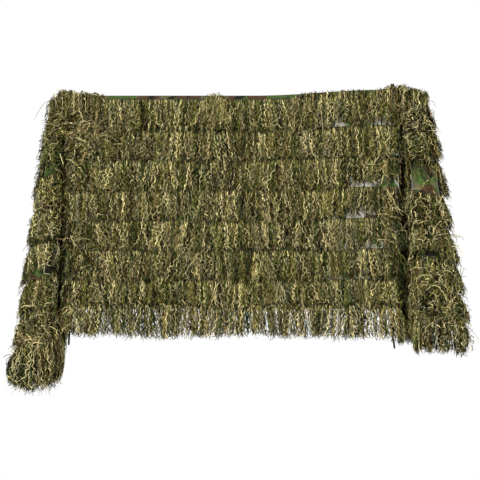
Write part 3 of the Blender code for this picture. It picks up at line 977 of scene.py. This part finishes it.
TAPE_THICK = 0.0013
TIE_WIDTH, LOOP_WIDTH = 0.010, 0.016
TIE_STRAIGHT = 0.35  # the share of its drop for which a tie hangs straight
TIES = {  # how far each tie drops, and how far to the right its free end bends
    "tie_left_inner": (0.172, -0.004), "tie_right_inner": (0.188, 0.016),
    "tie_left_corner": (0.125, -0.006), "tie_right_corner": (0.155, 0.012)}
LOOP_AT = 0.724  # how far from the middle the hanging loops are sewn on


def add_tape(name, body, gone, path, flat, width):
    """A tape along a path, flat to one side, that rides a body in place of a CAD piece."""
    normals = np.cross(flat, unit(np.gradient(path, axis=0)))
    tape = tape_mesh(name, path, flat, normals, width, TAPE_THICK, tape_look)
    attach(tape, body)
    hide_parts(gone)
    return tape


def tie(name, drop, aside, joint):
    """A limp tie: it hangs from its sewn end, bends aside below and turns a little on itself."""
    root = np.array(joint["pos_m"])
    across = np.array(joint["axis"])
    level = np.cross(across, (0, 0, -1.0))
    t = np.linspace(0, 1, 29)
    bend = np.sign(across[0]) * aside * smooth_step((t - TIE_STRAIGHT) / (1 - TIE_STRAIGHT)) * t
    path = (root + np.outer(t * drop, (0, 0, -1.0)) + np.outer(bend, across)
            + np.outer(0.0015 * np.sin(t * 7.0) * t, level))
    tangent = unit(np.gradient(path, axis=0))
    twist = 0.35 * smooth_step((t - 0.5) / 0.5)
    flat = np.cos(twist)[:, None] * across + np.sin(twist)[:, None] * level
    flat = unit(flat - tangent * (flat * tangent).sum(1, keepdims=True))
    tape = add_tape(f"{name}_tape", name, name, path, flat, TIE_WIDTH)


def hanging_loop(name, x):
    """A loop of tape that stands over the top hem, its eye open from side to side."""
    base = float(lift_at(np.array(x), np.array(0.0)))
    leg, spread, rise, eye = 0.0025, 0.0017, 0.004, 0.0105
    gone = math.asin(spread / 2 / eye)
    centre = np.array([leg + spread / 2, rise + eye])
    angle = -math.pi / 2 - gone - (2 * math.pi - 2 * gone) * np.linspace(0, 1, 37)
    ring = centre + eye * np.stack([np.cos(angle), np.sin(angle)], -1)
    yz = np.concatenate([[(leg, -0.014), (leg, -0.007), (leg, 0.0)], ring,
                         [(leg + spread, 0.0), (leg + spread, -0.007), (leg + spread, -0.014)]])
    path = np.stack([np.full(len(yz), x), yz[:, 0], base + yz[:, 1]], -1)
    flat = np.tile(np.array([[1.0, 0.0, 0.0]]), (len(path), 1))
    add_tape(f"hanging_loop_{name}", "panel", f"hang_loop_{name}", path, flat, LOOP_WIDTH)


# ---- build everything

CAD_END = {"main": "main", "left": "left_fall", "right": "right_fall"}  # ends of the CAD names
SEED = {"main": 1, "left": 2, "right": 3}


def cloth_and_hem(key, part):
    """The cloth of a part and the hems round it, in place of the CAD's."""
    low, high = part.reach
    s_ends = (low - TUCK, high + TUCK) if key == "main" else (low, high - HEM + 0.001)
    cells = (240, 120) if key == "main" else (300, 90)
    cloth = sheet_mesh(f"camouflage_cloth_{key}", part, s_ends, (HEM - 0.001, DROP - HEM + 0.001),
                       cells, CLOTH_THICK, [cloth_look, back_look])
    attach(cloth, BODY[key])
    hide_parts(f"cloth_{CAD_END[key]}")
    along = np.linspace(*s_ends, 200)
    lines = [(along, np.full_like(along, HEM / 2)), (along, np.full_like(along, DROP - HEM / 2))]
    gone = [f"hem_top_{CAD_END[key]}", f"hem_bottom_{CAD_END[key]}"]
    if key != "main":
        down = np.linspace(0.001, DROP - 0.001, 160)
        lines.append((np.full_like(down, high - HEM / 2), down))
        gone.append(f"hem_side_{key}")
    hem = hem_mesh(f"bound_hem_{key}", part, lines)
    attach(hem, BODY[key])
    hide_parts(*gone)
    return cloth, hem


def fringe(key, part):
    """The sewn rows of yarn on a part, each in two pieces."""
    pieces = []
    for row in range(len(HEADINGS)):
        rng = np.random.default_rng(100 * row + SEED[key])
        for made, layer in ((under_piece, ""), (over_piece, "_over")):
            piece = made(f"yarn_row_{row + 1}_{key}{layer}", rng, row, part)
            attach(piece, BODY[key])
            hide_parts(f"fringe_row_{row + 1}_{key}")
            pieces.append(piece)
    return pieces


soft = {key: (*cloth_and_hem(key, part), fringe(key, part)) for key, part in PARTS.items()}
joints = {j["name"]: j for j in frame["record"]["behaviour"]["joints"]}
for name, (drop, aside) in TIES.items():
    tie(name, drop, aside, joints[f"{name}_swing"])
hanging_loop("left", -LOOP_AT)
hanging_loop("right", LOOP_AT)
for name in ("patch_left_inner", "patch_right_inner", "patch_left_corner", "patch_right_corner"):
    for slot in frame["nodes"][name].material_slots:
        slot.material = tape_look

# ---- floor, light and camera

FLOOR_CORNERS = ((-9, -7, -2.2), (9, -7, -2.2), (9, 4.5, -2.2), (-9, 4.5, -2.2))
floor_mesh = bpy.data.meshes.new("studio_floor")
floor_mesh.from_pydata(FLOOR_CORNERS, [], [(0, 1, 2, 3)])
floor = bpy.data.objects.new("studio_floor", floor_mesh)
bpy.context.scene.collection.objects.link(floor)
paint, tree, shader = nodes_of("floor_white", roughness=0.9)
shader.inputs["Base Color"].default_value = (0.86, 0.86, 0.86, 1)
floor_mesh.materials.append(paint)

world = bpy.data.worlds.new("studio")
bpy.context.scene.world = world
world.use_nodes = True
tree = world.node_tree
tree.nodes.clear()
seen, glow = (add(tree, "ShaderNodeBackground", Color=(1, 1, 1, 1), Strength=strength)
              for strength in (1.0, 0.07))
ray, pick = add(tree, "ShaderNodeLightPath"), add(tree, "ShaderNodeMixShader")
out = add(tree, "ShaderNodeOutputWorld")
tree.links.new(ray.outputs["Is Camera Ray"], pick.inputs[0])
tree.links.new(glow.outputs[0], pick.inputs[1])
tree.links.new(seen.outputs[0], pick.inputs[2])
tree.links.new(pick.outputs[0], out.inputs["Surface"])


def sun(name, azimuth, elevation, spread, strength):
    """A soft distant lamp. Azimuth 0 shines from the front, 90 from the right."""
    data = bpy.data.lights.new(name, "SUN")
    data.energy, data.angle = strength, math.radians(spread)
    lamp = bpy.data.objects.new(name, data)
    lamp.rotation_euler = (math.radians(90 - elevation), 0.0, math.radians(azimuth))
    bpy.context.scene.collection.objects.link(lamp)


sun("key", -18, 44, 8, 4.1)
sun("fill", 40, 15, 30, 0.5)
sun("back", 160, 35, 20, 1.6)

camera_data = bpy.data.cameras.new("camera")
camera_data.lens = 200.0
camera_data.sensor_width = 36.0
camera = bpy.data.objects.new("camera", camera_data)
camera.location = (0.038, -12.0, -0.65)
camera.rotation_euler = (math.pi / 2, 0.0, 0.0)
bpy.context.scene.collection.objects.link(camera)
bpy.context.scene.camera = camera
bpy.context.scene.view_settings.view_transform = "Standard"
